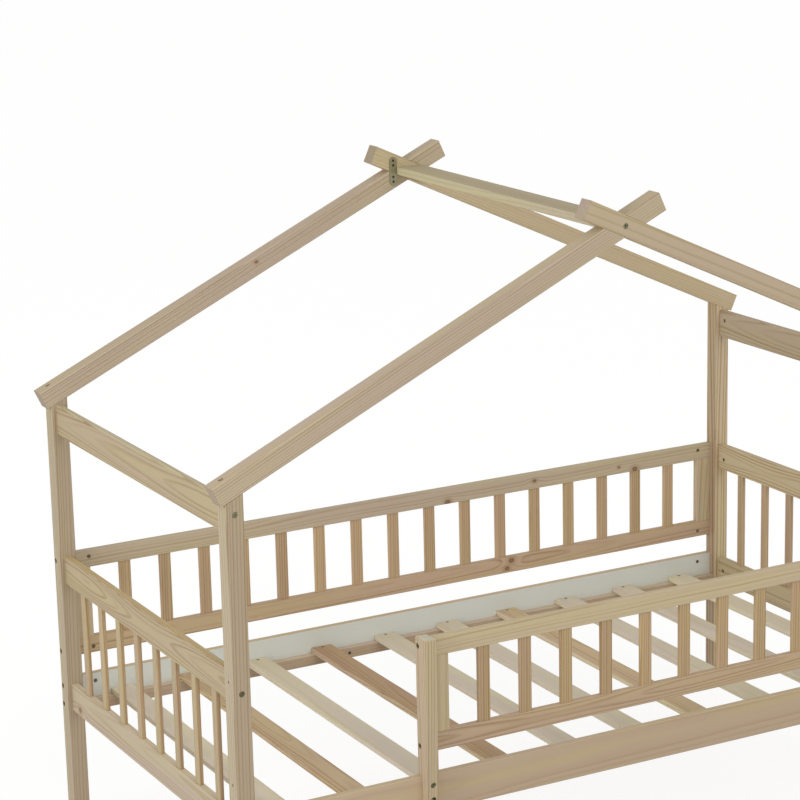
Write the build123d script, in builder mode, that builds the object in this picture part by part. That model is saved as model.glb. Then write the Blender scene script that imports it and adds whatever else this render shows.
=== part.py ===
from build123d import *
from math import cos, radians, sin, tan
import os

# A child's pine bed in the shape of a house, and the trundle that rolls out from under it.
# Millimetres. X runs along the bed, Y from its front to its back and Z up. The origin is on the
# floor, in the middle of the space that the bed and the rolled-out trundle take up together.
# The trundle stands in front of the bed, as far out as it rolls.

# Bed frame
bed_length = 2000
bed_width = 1050
post_width = 42
post_rounding = 2
board = 18
board_rounding = 1.5

# Side rails and the slatted deck
side_rail_bottom = 310
side_rail_height = 90
side_bolt_pitch = 48
batten_width = 20
batten_height = 28
batten_screws = 9
batten_screw_end = 126
deck_slats = 10
deck_slat_end_gap = 83
deck_slat_width = 58
deck_slat_thickness = 14
deck_slat_play = 1

# Head and foot ends
end_lower_rail_bottom = 320
end_rail_height = 70
end_top_bolt_drop = 6
baluster_height = 262
baluster_width = 25
baluster_count = 8
roof_tie_drop = 124
roof_tie_height = 76
roof_tie_rounding = 5
tie_bolt_lift = 11

# Guards
guard_bottom = 454
guard_rail_height = 44
guard_slat_height = 180
guard_slat_width = 31
stile_width = 45
back_slat_count = 16
front_slat_count = 12
guard_bolt_shift = 6
entry_width = 412
short_post_width = 28
short_post_front = 26
short_post_above = 6
short_post_rounding = 4
short_post_bolt_drop = 15
short_post_bolt_pitch = 35

# Every upright slat is let into its rails
upright_thickness = 11
upright_rounding = 3
tenon_length = 8
tenon_play = 0.15

# Roof
roof_pitch = 24.8
eave_height = 1155
rafter_depth = 46
rafter_thickness = 42
rafter_rounding = 2
rafter_foot = 31
rafter_tail = 98
ridge_width = 70
ridge_thickness = 20
rafter_screw_inset = 1
rafter_screw_recess = 10
rafter_screw_bite = 36
rafter_screw_head_height = 3
rafter_screw_head_radius = 6
rafter_screw_hole_radius = 6.6
plate_width = 21
plate_height = 73
plate_thickness = 2
plate_gap = 0.5
plate_inner_hole = 15
plate_outer_hole = 27
plate_screw_length = 16

# Bolts with a hex socket, and the cross nuts that they draw on
bolt_head_radius = 6.2
bolt_head_height = 4
bolt_head_recess = 2
bolt_counterbore_radius = 6.9
bolt_radius = 3
bolt_hole_radius = 3.3
bolt_past_nut = 8
socket_width = 6
socket_depth = 3
nut_radius = 5
nut_play = 0.15
nut_recess = 2
rail_nut_setback = 42
end_nut_setback = 24

# Countersunk wood screws
screw_head_radius = 4
screw_radius = 2
screw_play = 0.2
screw_length = 32
plate_screw_head_radius = 3.2
plate_screw_radius = 1.7
plug_radius = 3.5
plug_depth = 10

# Trundle
trundle_length = 1890
trundle_width = 960
trundle_gap = 320
panel_bottom = 40
panel_height = 190
panel_rounding = 3
panel_screw_inset = 45
trundle_slats = 10
castor_board_width = 60
castor_board_bottom = 62
castor_screw_inset = 15

# Castors
castor_setback = 90
wheel_radius = 25
wheel_width = 20
wheel_rounding = 3
hub_radius = 9
rim_thickness = 6
hub_recess = 3
axle_radius = 4
axle_running_play = 0.08
axle_head_radius = 6
axle_head_height = 2
bracket_thickness = 2.5
bracket_play = 1
bracket_length = 60
bracket_width = 50
fork_foot_radius = 9
bracket_screw_inset = 7
bracket_screw_head_height = 2
bracket_screw_radius = 2
bracket_screw_head_radius = 3.5
bracket_screw_length = 14

overrun = 2
quarter_turn = 90

# Places that follow from these sizes
whole_depth = bed_width + trundle_gap + trundle_width
back_face = whole_depth / 2
front_face = back_face - bed_width
middle_y = (front_face + back_face) / 2
left_face = -bed_length / 2
rail_end = bed_length / 2 - post_width
side_rail_top = side_rail_bottom + side_rail_height
end_top_rail_bottom = end_lower_rail_bottom + end_rail_height + baluster_height
guard_top_rail_bottom = guard_bottom + guard_rail_height + guard_slat_height
guard_top = guard_top_rail_bottom + guard_rail_height
slope = radians(roof_pitch)
roof_tie_bottom = eave_height - roof_tie_drop
underside_at_face = eave_height - rafter_depth / cos(slope)
crossing_height = eave_height + bed_length / 2 * tan(slope) - rafter_depth / 2 / cos(slope)
short_post_left = left_face + post_width + entry_width
front_guard_left = short_post_left + short_post_width
guard_bolt_heights = (
    guard_bottom + guard_rail_height / 2 - guard_bolt_shift,
    guard_top_rail_bottom + guard_rail_height / 2 + guard_bolt_shift,
)

LEFT, RIGHT = -1, 1
FRONT, BACK = -1, 1

os.makedirs("parts", exist_ok=True)


def keep(piece, name):
    """Label a finished sub-part and write it."""
    piece.part.label = name
    export_step(piece.part, f"parts/{name}.step")


def post_x(end):
    """Middle of the posts at one end."""
    return end * (bed_length - post_width) / 2


def post_y(side):
    """Middle of the posts at the front or the back."""
    return middle_y + side * (bed_width - post_width) / 2


def board_y(side):
    """Middle of the boards that lie flush with the outer faces of the posts."""
    return middle_y + side * (bed_width - board) / 2


def inner_board_face(side):
    """Inner face of the same boards."""
    return middle_y + side * (bed_width / 2 - board)


def spread(first, last, count, width):
    """Middles of equally spaced pieces between two stops."""
    gap = (last - first - count * width) / (count + 1)
    return [first + gap + width / 2 + i * (width + gap) for i in range(count)]


def row(first, last, count):
    """Equally spaced places from the first to the last."""
    return [first + i * (last - first) / (count - 1) for i in range(count)]


class BoltedJoint:
    """A bolt through one member into a cross nut in the board that butts against it."""

    def __init__(self, head, member, setback, mouth, thickness):
        self.head = head
        self.member = member
        self.butt = head.offset(-member)
        self.tail = setback + bolt_past_nut
        self.bore = thickness - nut_recess
        self.nut_length = thickness - 2 * nut_recess
        centre = head.origin - head.z_dir * (member + setback)
        outward = Vector(*mouth)
        self.mouth = Plane(origin=centre + outward * thickness / 2, z_dir=outward)
        self.shank = member + self.tail - bolt_head_recess - bolt_head_height


def bolt_head_hole(joint):
    """Counterbored hole through the member under a bolt's head."""
    with Locations(joint.head):
        CounterBoreHole(
            bolt_hole_radius,
            bolt_counterbore_radius,
            bolt_head_recess + bolt_head_height,
            joint.member,
        )


def bolt_tail_holes(joint):
    """Hole for a bolt's tail in the end of a board, and the bore for its cross nut."""
    with Locations(joint.butt):
        Hole(bolt_hole_radius, joint.tail + overrun)
    with Locations(joint.mouth):
        Hole(nut_radius + nut_play, joint.bore)


def screw_holes(planes, depth, radius=screw_radius, head_radius=screw_head_radius):
    """Countersunk holes through a piece."""
    with Locations(*planes):
        CounterSinkHole(radius + screw_play, head_radius + screw_play, depth, quarter_turn)


def pilot_holes(planes, depth, radius=screw_radius):
    """Plain holes for the screws' tails."""
    with Locations(*planes):
        Hole(radius + screw_play, depth)


def screws_in(planes, length, radius=screw_radius, head_radius=screw_head_radius):
    """Countersunk screws with their heads flush with the planes."""
    head_height = head_radius - radius
    with Locations(*planes):
        Cone(radius, head_radius, head_height, align=(Align.CENTER, Align.CENTER, Align.MAX))
    with Locations(*planes):
        Cylinder(radius, length, align=(Align.CENTER, Align.CENTER, Align.MAX))


def block(low, high, rounding, grain):
    """A board between two corners, rounded along its grain."""
    with BuildPart() as piece:
        with BuildSketch(Plane.XY.offset(low[2])):
            with Locations(((low[0] + high[0]) / 2, (low[1] + high[1]) / 2)):
                Rectangle(high[0] - low[0], high[1] - low[1])
        extrude(amount=high[2] - low[2])
        fillet(piece.edges().filter_by(grain), rounding)
    return piece.part


def make_board(name, low, high, grain, joints=(), rounding=board_rounding):
    """A board held by bolts at its ends."""
    with BuildPart() as plank:
        add(block(low, high, rounding, grain))
        for joint in joints:
            bolt_tail_holes(joint)
    keep(plank, name)


def make_slotted_rail(name, low, high, grain, joints, mortises, section):
    """A rail with a row of mortises that take the ends of upright slats."""
    with BuildPart() as rail:
        add(block(low, high, board_rounding, grain))
        for joint in joints:
            bolt_tail_holes(joint)
        with BuildSketch(mortises[0]):
            with Locations(*mortises[1]):
                RectangleRounded(
                    section[0] + 2 * tenon_play,
                    section[1] + 2 * tenon_play,
                    upright_rounding + tenon_play,
                )
        extrude(amount=-tenon_length, mode=Mode.SUBTRACT)
    keep(rail, name)


def make_uprights(name, places, section, bottom, height):
    """A row of upright slats, each with its ends in the rails' mortises."""
    with BuildPart() as uprights:
        with BuildSketch(Plane.XY.offset(bottom - tenon_length)):
            with Locations(*places):
                RectangleRounded(section[0], section[1], upright_rounding)
        extrude(amount=height + 2 * tenon_length)
    keep(uprights, name)


# Bolted joints

def side_rail_joints(end, side):
    """Two bolts from a post into the end of a side rail."""
    middle = side_rail_bottom + side_rail_height / 2
    joints = []
    for z in (middle - side_bolt_pitch / 2, middle + side_bolt_pitch / 2):
        head = Plane(origin=(end * bed_length / 2, board_y(side), z), z_dir=(end, 0, 0))
        joints.append(BoltedJoint(head, post_width, rail_nut_setback, (0, -side, 0), board))
    return joints


def guard_joint(end, side, z):
    """A bolt from a post into a rail of a guard."""
    head = Plane(origin=(end * bed_length / 2, board_y(side), z), z_dir=(end, 0, 0))
    return BoltedJoint(head, post_width, rail_nut_setback, (0, -side, 0), board)


def short_post_joint(z):
    """A bolt from the short post into a rail of the front guard."""
    head = Plane(origin=(short_post_left, board_y(FRONT), z), z_dir=(-1, 0, 0))
    return BoltedJoint(head, short_post_width, rail_nut_setback, (0, 1, 0), board)


def end_joint(end, side, z):
    """A bolt from a post into a rail of the head end, the foot end or the roof."""
    face = middle_y + side * bed_width / 2
    head = Plane(origin=(post_x(end), face, z), z_dir=(0, side, 0))
    return BoltedJoint(head, post_width, end_nut_setback, (-end, 0, 0), board)


def rafter_front(side):
    """Front face of the rafters of one gable."""
    return post_y(side) - post_width / 2


def ridge_joint(side):
    """A bolt through the crossing of two rafters into the ridge board."""
    face = rafter_front(side) + (rafter_thickness if side == BACK else 0)
    head = Plane(origin=(0, face, crossing_height), z_dir=(0, side, 0))
    return BoltedJoint(head, rafter_thickness, rail_nut_setback, (0, 0, -1), ridge_thickness)


end_lower_height = end_lower_rail_bottom + end_rail_height / 2
end_top_height = end_top_rail_bottom + end_rail_height / 2 - end_top_bolt_drop
tie_bolt_height = roof_tie_bottom + roof_tie_height / 2 + tie_bolt_lift

all_joints = []
for end in (LEFT, RIGHT):
    for side in (FRONT, BACK):
        all_joints += side_rail_joints(end, side)
        all_joints += [end_joint(end, side, z) for z in (end_lower_height, end_top_height, tie_bolt_height)]
        if (end, side) != (LEFT, FRONT):
            all_joints += [guard_joint(end, side, z) for z in guard_bolt_heights]
short_post_joints = [short_post_joint(z) for z in guard_bolt_heights]
all_joints += short_post_joints
all_joints += [ridge_joint(side) for side in (FRONT, BACK)]

short_post_middle = short_post_left + short_post_width / 2
short_post_bolt_top = side_rail_top - short_post_bolt_drop
short_post_bolts = [
    Plane(origin=(short_post_middle, front_face - short_post_front, z), z_dir=(0, -1, 0))
    for z in (short_post_bolt_top, short_post_bolt_top - short_post_bolt_pitch)
]


# Posts

def rafter_screw_plane(end, side):
    """Place of the screw on a rafter's top edge, square to the slope."""
    middle = rafter_front(side) + rafter_thickness / 2
    x = end * (bed_length / 2 - rafter_screw_inset)
    z = eave_height + rafter_screw_inset * tan(slope)
    return Plane(origin=(x, middle, z), z_dir=(end * sin(slope), 0, cos(slope)))


def make_post(name, end, side):
    """A corner post, its top cut to the underside of the rafter."""
    outer = end * bed_length / 2
    inner = end * rail_end
    inner_top = underside_at_face + post_width * tan(slope)
    with BuildPart() as post:
        with BuildSketch(Plane.XZ.offset(-(post_y(side) + post_width / 2))):
            with BuildLine():
                Polyline((outer, 0), (inner, 0), (inner, inner_top), (outer, underside_at_face), close=True)
            make_face()
        extrude(amount=post_width)
        fillet(post.edges().filter_by(Axis.Z), post_rounding)
        for joint in all_joints:
            at_x = abs(joint.head.origin.X - post_x(end)) <= post_width
            at_y = abs(joint.head.origin.Y - post_y(side)) <= post_width
            if at_x and at_y:
                bolt_head_hole(joint)
        pilot_holes(
            [rafter_screw_plane(end, side).offset(-rafter_depth)],
            rafter_screw_bite + overrun,
        )
        if (end, side) == (LEFT, FRONT):
            plugs = [Plane(origin=(outer, post_y(side), z), z_dir=(end, 0, 0)) for z in guard_bolt_heights]
            with Locations(*plugs):
                Hole(plug_radius, plug_depth)
    keep(post, name)


make_post("post_front_left", LEFT, FRONT)
make_post("post_front_right", RIGHT, FRONT)
make_post("post_back_left", LEFT, BACK)
make_post("post_back_right", RIGHT, BACK)


# Roof

def rafter_plane(end, y_front, y_back):
    """Plane in a rafter's side: X up the slope from the post's outer face, Y out of the roof."""
    corner = (end * bed_length / 2, y_back if end == LEFT else y_front, eave_height)
    return Plane(origin=corner, x_dir=(-end * cos(slope), 0, sin(slope)), z_dir=(0, end, 0))


def rafter_strip(end, y_front, y_back, slack):
    """The straight bar that a rafter is cut from, or the notch that lets it through the other."""
    run = bed_length / 2 / cos(slope) + rafter_tail
    with BuildPart() as bar:
        with BuildSketch(rafter_plane(end, y_front, y_back)):
            with Locations(((run - rafter_foot) / 2, -rafter_depth / 2)):
                Rectangle(run + rafter_foot + slack, rafter_depth)
        extrude(amount=y_back - y_front)
        if slack == 0:
            along = [e for e in bar.edges() if abs(e.length - run - rafter_foot) < overrun]
            fillet(along, rafter_rounding)
    return bar.part


def make_rafter(name, end, side):
    """A rafter, halved where it crosses the other one. The right-hand one shows whole in front."""
    front = rafter_front(side)
    back = front + rafter_thickness
    lap = front + rafter_thickness / 2
    notch = (front, lap) if end == LEFT else (lap, back)
    with BuildPart() as rafter:
        add(rafter_strip(end, front, back, 0))
        add(rafter_strip(-end, notch[0], notch[1], rafter_depth), mode=Mode.SUBTRACT)
        top = rafter_screw_plane(end, side)
        with Locations(top):
            CounterBoreHole(
                screw_radius + screw_play,
                rafter_screw_hole_radius,
                rafter_screw_recess + rafter_screw_head_height,
                rafter_depth + overrun,
            )
        joint = ridge_joint(side)
        bolt_head_hole(joint)
        if side == BACK:
            pilot_holes([p for p in plate_screw_planes if plate_end(p) == end], plate_screw_length)
    keep(rafter, name)


plate_middle_x = -(ridge_width / 2 + plate_gap + plate_width / 2)
plate_face = rafter_front(BACK)
plate_screw_planes = [
    Plane(origin=(plate_middle_x, plate_face - plate_thickness, crossing_height + dz), z_dir=(0, -1, 0))
    for dz in (-plate_outer_hole, -plate_inner_hole, plate_inner_hole, plate_outer_hole)
]


def plate_end(plane):
    """Which rafter a screw of the mending plate bites: the left one runs below, the right one above."""
    return LEFT if plane.origin.Z < crossing_height else RIGHT


make_rafter("rafter_front_left", LEFT, FRONT)
make_rafter("rafter_front_right", RIGHT, FRONT)
make_rafter("rafter_back_left", LEFT, BACK)
make_rafter("rafter_back_right", RIGHT, BACK)

ridge_low = (-ridge_width / 2, rafter_front(FRONT) + rafter_thickness, crossing_height - ridge_thickness / 2)
ridge_high = (ridge_width / 2, rafter_front(BACK), crossing_height + ridge_thickness / 2)
make_board("ridge_board", ridge_low, ridge_high, Axis.Y, [ridge_joint(FRONT), ridge_joint(BACK)])

with BuildPart() as mending_plate:
    with BuildSketch(Plane.XZ.offset(-plate_face)):
        with Locations((plate_middle_x, crossing_height)):
            SlotOverall(plate_height, plate_width, rotation=quarter_turn)
    extrude(amount=plate_thickness)
    screw_holes(plate_screw_planes, plate_thickness, plate_screw_radius, plate_screw_head_radius)
keep(mending_plate, "mending_plate")


# Head end and foot end

def make_end(name, end):
    """Two rails, a row of balusters between them and the tie under the rafters' feet."""
    middle = post_x(end)
    low_y = front_face + post_width
    high_y = back_face - post_width
    places = [(middle, y) for y in spread(low_y, high_y, baluster_count, baluster_width)]
    section = (upright_thickness, baluster_width)
    baluster_bottom = end_lower_rail_bottom + end_rail_height
    underside = Plane(origin=(0, 0, end_top_rail_bottom), x_dir=(1, 0, 0), z_dir=(0, 0, -1))
    rails = (
        ("lower", end_lower_rail_bottom, end_lower_height, (Plane.XY.offset(baluster_bottom), places)),
        ("top", end_top_rail_bottom, end_top_height, (underside, [(x, -y) for x, y in places])),
    )
    for level, bottom, bolt_height, mortises in rails:
        make_slotted_rail(
            f"{name}_{level}_rail",
            (middle - board / 2, low_y, bottom),
            (middle + board / 2, high_y, bottom + end_rail_height),
            Axis.Y,
            [end_joint(end, side, bolt_height) for side in (FRONT, BACK)],
            mortises,
            section,
        )
    make_uprights(f"{name}_balusters", places, section, baluster_bottom, baluster_height)


make_end("head", LEFT)
make_end("foot", RIGHT)

for name, end in (("roof_tie_left", LEFT), ("roof_tie_right", RIGHT)):
    make_board(
        name,
        (post_x(end) - board / 2, front_face + post_width, roof_tie_bottom),
        (post_x(end) + board / 2, back_face - post_width, roof_tie_bottom + roof_tie_height),
        Axis.Y,
        [end_joint(end, side, tie_bolt_height) for side in (FRONT, BACK)],
        roof_tie_rounding,
    )


# Guards

def make_guard(name, side, left, count, lower_joints, top_joints):
    """A guard of two rails, a stile at each end and a row of slats."""
    y = board_y(side)
    places = [(x, y) for x in spread(left + stile_width, rail_end - stile_width, count, guard_slat_width)]
    section = (guard_slat_width, upright_thickness)
    slat_bottom = guard_bottom + guard_rail_height
    make_slotted_rail(
        f"{name}_lower_rail",
        (left, y - board / 2, guard_bottom),
        (rail_end, y + board / 2, slat_bottom),
        Axis.X,
        lower_joints,
        (Plane.XY.offset(slat_bottom), places),
        section,
    )
    upside_down = Plane(origin=(0, 0, guard_top_rail_bottom), x_dir=(1, 0, 0), z_dir=(0, 0, -1))
    make_slotted_rail(
        f"{name}_top_rail",
        (left, y - board / 2, guard_top_rail_bottom),
        (rail_end, y + board / 2, guard_top),
        Axis.X,
        top_joints,
        (upside_down, [(x, -y) for x, y in places]),
        section,
    )
    make_uprights(f"{name}_slats", places, section, slat_bottom, guard_slat_height)
    with BuildPart() as stiles:
        for stile_left in (left, rail_end - stile_width):
            low = (stile_left, y - board / 2, slat_bottom)
            high = (stile_left + stile_width, y + board / 2, guard_top_rail_bottom)
            add(block(low, high, board_rounding, Axis.Z))
    keep(stiles, f"{name}_stiles")


make_guard(
    "back_guard",
    BACK,
    -rail_end,
    back_slat_count,
    [guard_joint(end, BACK, guard_bolt_heights[0]) for end in (LEFT, RIGHT)],
    [guard_joint(end, BACK, guard_bolt_heights[1]) for end in (LEFT, RIGHT)],
)
make_guard(
    "front_guard",
    FRONT,
    front_guard_left,
    front_slat_count,
    [short_post_joint(guard_bolt_heights[0]), guard_joint(RIGHT, FRONT, guard_bolt_heights[0])],
    [short_post_joint(guard_bolt_heights[1]), guard_joint(RIGHT, FRONT, guard_bolt_heights[1])],
)

# The short post hangs over the side rail: its front part runs down the rail's face.
with BuildPart() as front_guard_post:
    with BuildSketch(Plane.YZ.offset(short_post_left)):
        with BuildLine():
            Polyline(
                (front_face - short_post_front, side_rail_bottom),
                (front_face, side_rail_bottom),
                (front_face, side_rail_top),
                (front_face + board, side_rail_top),
                (front_face + board, guard_top + short_post_above),
                (front_face - short_post_front, guard_top + short_post_above),
                close=True,
            )
        make_face()
    extrude(amount=short_post_width)
    fillet(front_guard_post.edges().group_by(Axis.Z)[-1], short_post_rounding)
    for joint in short_post_joints:
        bolt_head_hole(joint)
    with Locations(*short_post_bolts):
        CounterBoreHole(
            bolt_hole_radius,
            bolt_counterbore_radius,
            bolt_head_recess + bolt_head_height,
            short_post_front,
        )
keep(front_guard_post, "front_guard_post")


# Side rails, battens and the slats of the deck

deck_screw_length = deck_slat_thickness + batten_height / 2
batten_bottom = side_rail_bottom
batten_top = batten_bottom + batten_height
last_deck_slat = rail_end - deck_slat_end_gap - deck_slat_width / 2
last_batten_screw = rail_end - batten_screw_end
deck_slat_places = row(-last_deck_slat, last_deck_slat, deck_slats)
batten_screw_places = row(-last_batten_screw, last_batten_screw, batten_screws)


def batten_y(side):
    """Middle of the batten inside a side rail."""
    return inner_board_face(side) - side * batten_width / 2


def batten_screw_planes(side):
    """Places of the screws on a batten's inner face."""
    face = inner_board_face(side) - side * batten_width
    z = batten_bottom + batten_height / 2
    return [Plane(origin=(x, face, z), z_dir=(0, -side, 0)) for x in batten_screw_places]


def deck_screw_plane(x, side):
    """Place of the screw at one end of a deck slat."""
    return Plane(origin=(x, batten_y(side), batten_top + deck_slat_thickness), z_dir=(0, 0, 1))


def make_side_rail(name, side):
    """A side rail with its bolt holes and the pilot holes for its batten."""
    with BuildPart() as rail:
        y = board_y(side)
        low = (-rail_end, y - board / 2, side_rail_bottom)
        high = (rail_end, y + board / 2, side_rail_top)
        add(block(low, high, board_rounding, Axis.X))
        for end in (LEFT, RIGHT):
            for joint in side_rail_joints(end, side):
                bolt_tail_holes(joint)
        pilot_holes(
            [plane.offset(-batten_width) for plane in batten_screw_planes(side)],
            screw_length - batten_width,
        )
        if side == FRONT:
            inner = [plane.offset(-short_post_front - board) for plane in short_post_bolts]
            with Locations(*inner):
                Hole(bolt_hole_radius, board + overrun)
            with Locations(*inner):
                Hole(nut_radius + nut_play, board - nut_recess)
    keep(rail, name)


def make_batten(name, side):
    """The batten that carries the deck slats."""
    with BuildPart() as batten:
        inner = inner_board_face(side)
        edge = inner - side * batten_width
        low = (-rail_end, min(inner, edge), batten_bottom)
        high = (rail_end, max(inner, edge), batten_top)
        add(block(low, high, board_rounding, Axis.X))
        screw_holes(batten_screw_planes(side), batten_width)
        tops = [deck_screw_plane(x, side).offset(-deck_slat_thickness) for x in deck_slat_places]
        pilot_holes(tops, batten_height / 2)
    keep(batten, name)


make_side_rail("side_rail_front", FRONT)
make_side_rail("side_rail_back", BACK)
make_batten("slat_batten_front", FRONT)
make_batten("slat_batten_back", BACK)

for number, x in enumerate(deck_slat_places, start=1):
    with BuildPart() as slat:
        low = (x - deck_slat_width / 2, inner_board_face(FRONT) + deck_slat_play, batten_top)
        high_y = inner_board_face(BACK) - deck_slat_play
        high = (x + deck_slat_width / 2, high_y, batten_top + deck_slat_thickness)
        add(block(low, high, board_rounding, Axis.Y))
        screw_holes([deck_screw_plane(x, side) for side in (FRONT, BACK)], deck_slat_thickness)
    keep(slat, f"bed_slat_{number:02d}")


# Fasteners of the bed

with BuildPart() as frame_bolts:
    long_bolts = [(joint.head, joint.shank) for joint in all_joints]
    rail_bolt_shank = short_post_front + board - bolt_head_recess - bolt_head_height
    long_bolts += [(plane, rail_bolt_shank) for plane in short_post_bolts]
    for length in sorted({shank for plane, shank in long_bolts}):
        heads = [plane.offset(-bolt_head_recess) for plane, shank in long_bolts if shank == length]
        with BuildSketch(*heads):
            Circle(bolt_head_radius)
        extrude(amount=-bolt_head_height)
        with BuildSketch(*heads):
            Circle(bolt_radius)
        extrude(amount=-bolt_head_height - length)
        with BuildSketch(*heads):
            RegularPolygon(socket_width / 2, 6, major_radius=False)
        extrude(amount=-socket_depth, mode=Mode.SUBTRACT)
keep(frame_bolts, "frame_bolts")

with BuildPart() as bolt_nuts:
    for length in sorted({joint.nut_length for joint in all_joints}):
        group = [joint for joint in all_joints if joint.nut_length == length]
        with BuildSketch(*[joint.mouth.offset(-nut_recess) for joint in group]):
            Circle(nut_radius)
        extrude(amount=-length)
    with BuildSketch(*[plane.offset(-short_post_front - nut_recess) for plane in short_post_bolts]):
        Circle(nut_radius)
    extrude(amount=-(board - nut_recess))
    for plane, shank in long_bolts:
        with BuildSketch(plane):
            Circle(bolt_radius + nut_play)
        extrude(amount=-(bolt_head_recess + bolt_head_height + shank + overrun), mode=Mode.SUBTRACT)
keep(bolt_nuts, "bolt_nuts")

with BuildPart() as roof_screws:
    for end in (LEFT, RIGHT):
        for side in (FRONT, BACK):
            seat = rafter_screw_plane(end, side).offset(-rafter_screw_recess)
            with Locations(seat):
                Cylinder(
                    rafter_screw_head_radius,
                    rafter_screw_head_height,
                    align=(Align.CENTER, Align.CENTER, Align.MAX),
                )
            with Locations(seat):
                Cylinder(
                    screw_radius,
                    rafter_depth - rafter_screw_recess + rafter_screw_bite,
                    align=(Align.CENTER, Align.CENTER, Align.MAX),
                )
    screws_in(plate_screw_planes, plate_screw_length, plate_screw_radius, plate_screw_head_radius)
keep(roof_screws, "roof_screws")

with BuildPart() as batten_screw_set:
    for side in (FRONT, BACK):
        screws_in(batten_screw_planes(side), screw_length)
keep(batten_screw_set, "batten_screws")

with BuildPart() as slat_screw_set:
    for side in (FRONT, BACK):
        screws_in([deck_screw_plane(x, side) for x in deck_slat_places], deck_screw_length)
keep(slat_screw_set, "slat_screws")


# Trundle

trundle_front = -whole_depth / 2
trundle_back = trundle_front + trundle_width
trundle_middle = (trundle_front + trundle_back) / 2
trundle_end = trundle_length / 2
castor_board_top = castor_board_bottom + board
trundle_batten_top = castor_board_top + batten_height
last_trundle_slat = trundle_end - board - deck_slat_end_gap - deck_slat_width / 2
last_trundle_screw = trundle_end - board - batten_screw_end
trundle_slat_places = row(-last_trundle_slat, last_trundle_slat, trundle_slats)
trundle_screw_places = row(-last_trundle_screw, last_trundle_screw, batten_screws)
panel_screw_heights = (panel_bottom + panel_screw_inset, panel_bottom + panel_height - panel_screw_inset)


def panel_face(side):
    """Outer face of the trundle's front or back panel."""
    return trundle_middle + side * trundle_width / 2


def panel_screw_planes(side):
    """Screws through the front or back panel into the end panels."""
    x = trundle_end - board / 2
    return [
        Plane(origin=(end * x, panel_face(side), z), z_dir=(0, side, 0))
        for end in (LEFT, RIGHT)
        for z in panel_screw_heights
    ]


def trundle_batten_screw_planes(side):
    """Screws from a trundle batten's inner face into the panel behind it."""
    face = panel_face(side) - side * (board + batten_width)
    z = castor_board_top + batten_height / 2
    return [Plane(origin=(x, face, z), z_dir=(0, -side, 0)) for x in trundle_screw_places]


def trundle_slat_screw_plane(x, side):
    """Place of the screw at one end of a trundle slat."""
    y = panel_face(side) - side * (board + batten_width / 2)
    return Plane(origin=(x, y, trundle_batten_top + deck_slat_thickness), z_dir=(0, 0, 1))


def castor_board_x(end):
    """Middle of the board that carries the castors at one end."""
    return end * (trundle_end - board - castor_board_width / 2)


def castor_board_screw_planes(end, side):
    """Screws from below through a castor board into a batten."""
    y = panel_face(side) - side * (board + batten_width / 2)
    return [
        Plane(origin=(castor_board_x(end) + step, y, castor_board_bottom), z_dir=(0, 0, -1))
        for step in (-castor_screw_inset, castor_screw_inset)
    ]


def make_long_panel(name, side):
    """The front or back panel of the trundle."""
    with BuildPart() as panel:
        face = panel_face(side)
        inner = face - side * board
        low = (-trundle_end, min(face, inner), panel_bottom)
        high = (trundle_end, max(face, inner), panel_bottom + panel_height)
        add(block(low, high, panel_rounding, Axis.X))
        screw_holes(panel_screw_planes(side), board)
        inner_planes = [
            plane.offset(-batten_width) for plane in trundle_batten_screw_planes(side)
        ]
        pilot_holes(inner_planes, screw_length - batten_width)
    keep(panel, name)


def make_end_panel(name, end):
    """The panel at one end of the trundle, between the long ones."""
    with BuildPart() as panel:
        outer = end * trundle_end
        inner = end * (trundle_end - board)
        low = (min(outer, inner), trundle_front + board, panel_bottom)
        high = (max(outer, inner), trundle_back - board, panel_bottom + panel_height)
        add(block(low, high, panel_rounding, Axis.Y))
        for side in (FRONT, BACK):
            tails = [p.offset(-board) for p in panel_screw_planes(side) if p.origin.X * end > 0]
            pilot_holes(tails, screw_length)
    keep(panel, name)


make_long_panel("trundle_front_panel", FRONT)
make_long_panel("trundle_back_panel", BACK)
make_end_panel("trundle_end_left", LEFT)
make_end_panel("trundle_end_right", RIGHT)

with BuildPart() as trundle_battens:
    for side in (FRONT, BACK):
        inner = panel_face(side) - side * board
        edge = inner - side * batten_width
        low = (board - trundle_end, min(inner, edge), castor_board_top)
        high = (trundle_end - board, max(inner, edge), trundle_batten_top)
        add(block(low, high, board_rounding, Axis.X))
    for side in (FRONT, BACK):
        screw_holes(trundle_batten_screw_planes(side), batten_width)
        tops = [trundle_slat_screw_plane(x, side).offset(-deck_slat_thickness) for x in trundle_slat_places]
        pilot_holes(tops, batten_height / 2)
        for end in (LEFT, RIGHT):
            tails = [plane.offset(-board) for plane in castor_board_screw_planes(end, side)]
            pilot_holes(tails, deck_screw_length - board)
keep(trundle_battens, "trundle_battens")

with BuildPart() as trundle_slat_set:
    for x in trundle_slat_places:
        low = (x - deck_slat_width / 2, trundle_front + board + deck_slat_play, trundle_batten_top)
        high_z = trundle_batten_top + deck_slat_thickness
        high = (x + deck_slat_width / 2, trundle_back - board - deck_slat_play, high_z)
        add(block(low, high, board_rounding, Axis.Y))
    for side in (FRONT, BACK):
        screw_holes(
            [trundle_slat_screw_plane(x, side) for x in trundle_slat_places],
            deck_slat_thickness,
        )
keep(trundle_slat_set, "trundle_slats")


# Castors

wheel_places = {
    "castor_wheel_front_left": (LEFT, FRONT),
    "castor_wheel_front_right": (RIGHT, FRONT),
    "castor_wheel_back_left": (LEFT, BACK),
    "castor_wheel_back_right": (RIGHT, BACK),
}
cheek_inner = wheel_width / 2 + bracket_play
cheek_outer = cheek_inner + bracket_thickness
plate_bottom = castor_board_bottom - bracket_thickness


def castor_y(side):
    """Middle of a castor."""
    return panel_face(side) - side * castor_setback


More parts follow.
